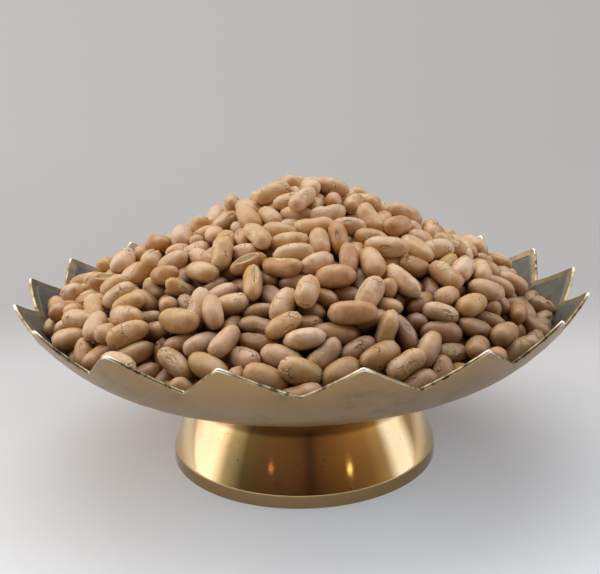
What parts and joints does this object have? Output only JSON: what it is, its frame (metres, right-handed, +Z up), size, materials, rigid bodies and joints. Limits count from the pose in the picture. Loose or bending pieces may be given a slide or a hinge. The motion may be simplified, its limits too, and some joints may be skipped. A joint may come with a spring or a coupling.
{
  "type": "bowl of roasted soybeans",
  "caption": "Shallow brass pedestal bowl with a zigzag petal rim, heaped with whole roasted soybeans.",
  "frame": {"origin": "centre of the foot's base, at the bottom of the object's box", "axes": "+Z up along the axis of the bowl and foot, -Y towards the viewer of the reference picture, +X to the viewer's right"},
  "size_m": [0.16, 0.158, 0.0815],
  "materials": {
    "bowl_brass": "dull satin brass sheet with fine stains, bright filed edges on the petals and dark enamel fields inside them",
    "foot_brass": "polished golden brass with fine turning marks",
    "roasted_bean": "satin tan bean skin, paler on top, with small cracks and flaky scars"
  },
  "bodies": {
    "root": {"bowl": "bowl_brass", "foot": "foot_brass", "bean_heap": "roasted_bean"}
  },
  "joints": []
}
